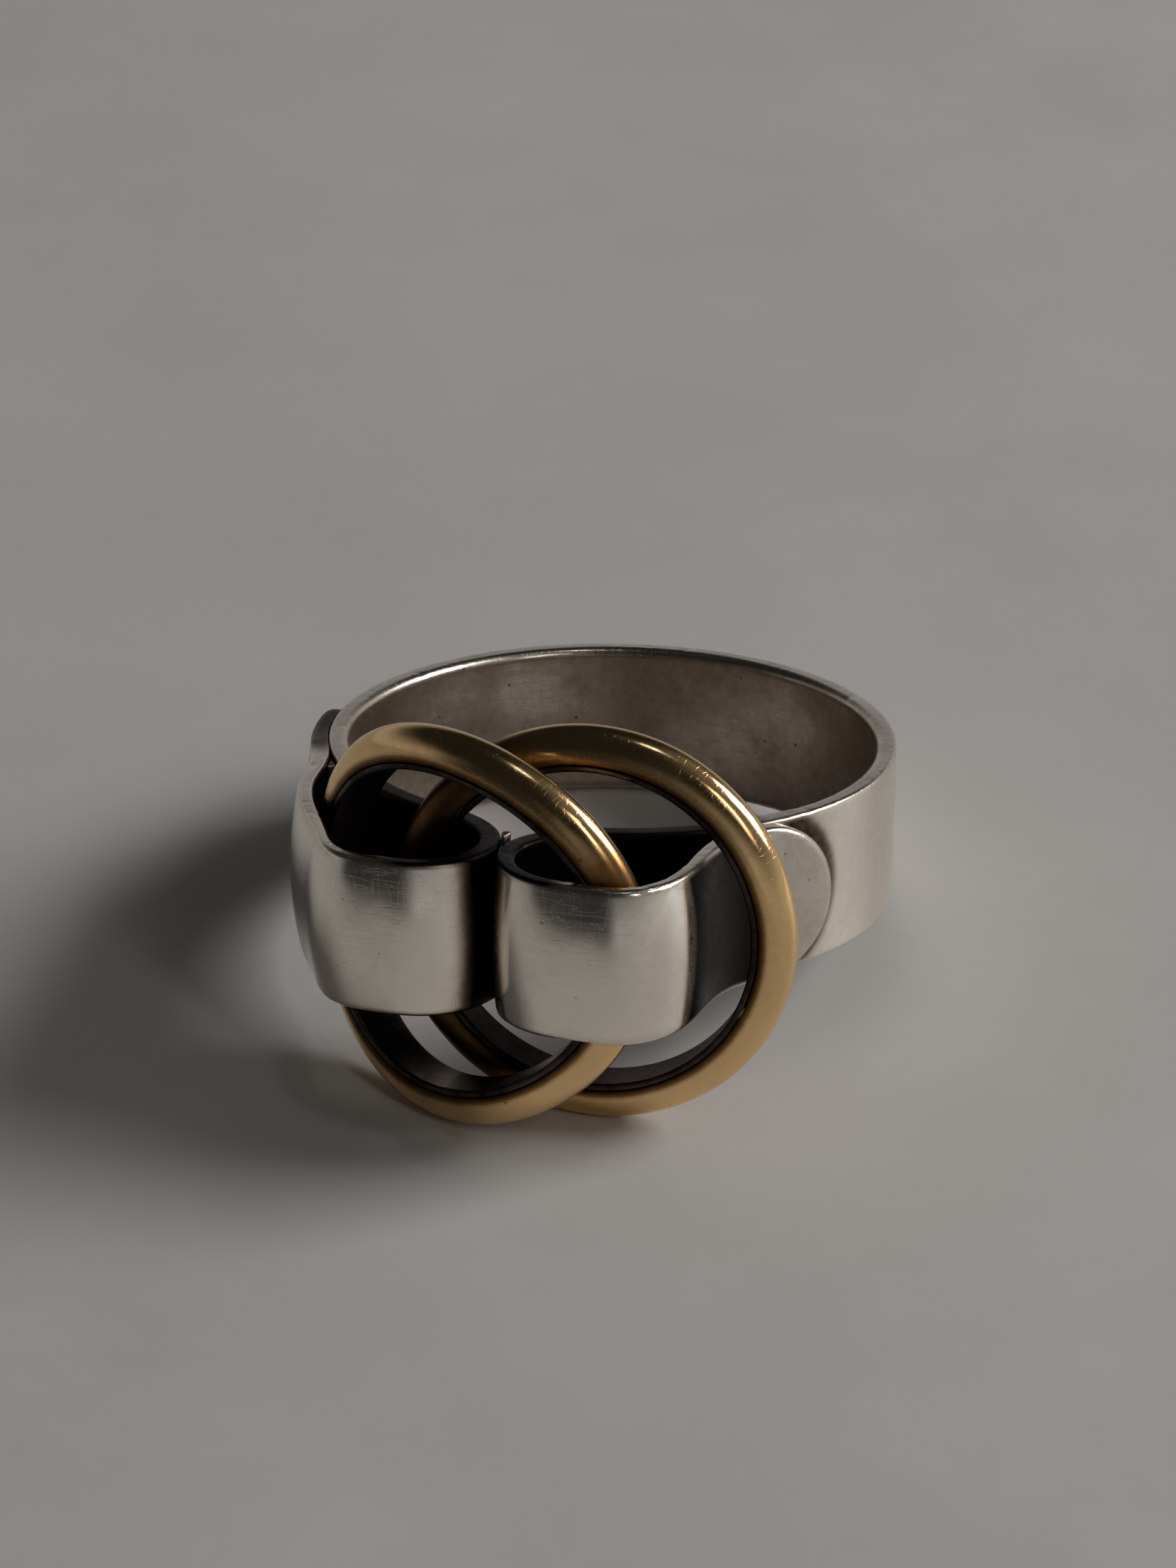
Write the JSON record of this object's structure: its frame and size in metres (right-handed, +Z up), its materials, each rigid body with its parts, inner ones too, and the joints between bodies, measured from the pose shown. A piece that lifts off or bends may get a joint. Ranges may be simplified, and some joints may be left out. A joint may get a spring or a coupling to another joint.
{
  "type": "silver finger ring with two gold hoops",
  "caption": "Finger ring made of a flat silver strip whose front ends fold back into polished pillows, with interlinked half-round gold hoops held in the folds",
  "frame": {"origin": "on the table, under the middle of the ring's bounding box as it lies", "axes": "+Z up from the table; -Y is the front with the pillows and hoops; the finger axis leans back about 12 degrees, because the ring rests on both hoops and on the back of its band"},
  "size_m": [0.0208, 0.0242, 0.0136],
  "materials": {
    "polished_silver": "polished sterling silver with fine wear, darker in its recesses",
    "oxidised_silver": "blackened silver, satin",
    "yellow_gold": "polished yellow gold with a little wear",
    "silver_solder": "rough, partly blackened solder"
  },
  "bodies": {
    "silver_ring": {"shank_band": "polished_silver", "left_folded_strap": "polished_silver", "right_folded_strap": "polished_silver", "centre_solder_seam": "silver_solder", "left_tail_solder_seam": "silver_solder", "right_tail_solder_seam": "silver_solder"},
    "left_hoop": {"left_hoop_gold": "yellow_gold", "left_hoop_lining": "oxidised_silver"},
    "right_hoop": {"right_hoop_gold": "yellow_gold", "right_hoop_lining": "oxidised_silver"}
  },
  "joints": [
    {"name": "right_hoop_turn", "type": "hinge", "parent": "silver_ring", "child": "right_hoop", "pos_m": [0.00314, -0.00749, 0.00674], "axis": [0.0793, -0.9756, 0.2046], "continuous": true},
    {"name": "left_hoop_slide", "type": "slide", "parent": "silver_ring", "child": "left_hoop", "axis": [-0.0757, 0.1988, 0.9771], "range_m": [-0.0008, 0.0008]}
  ]
}
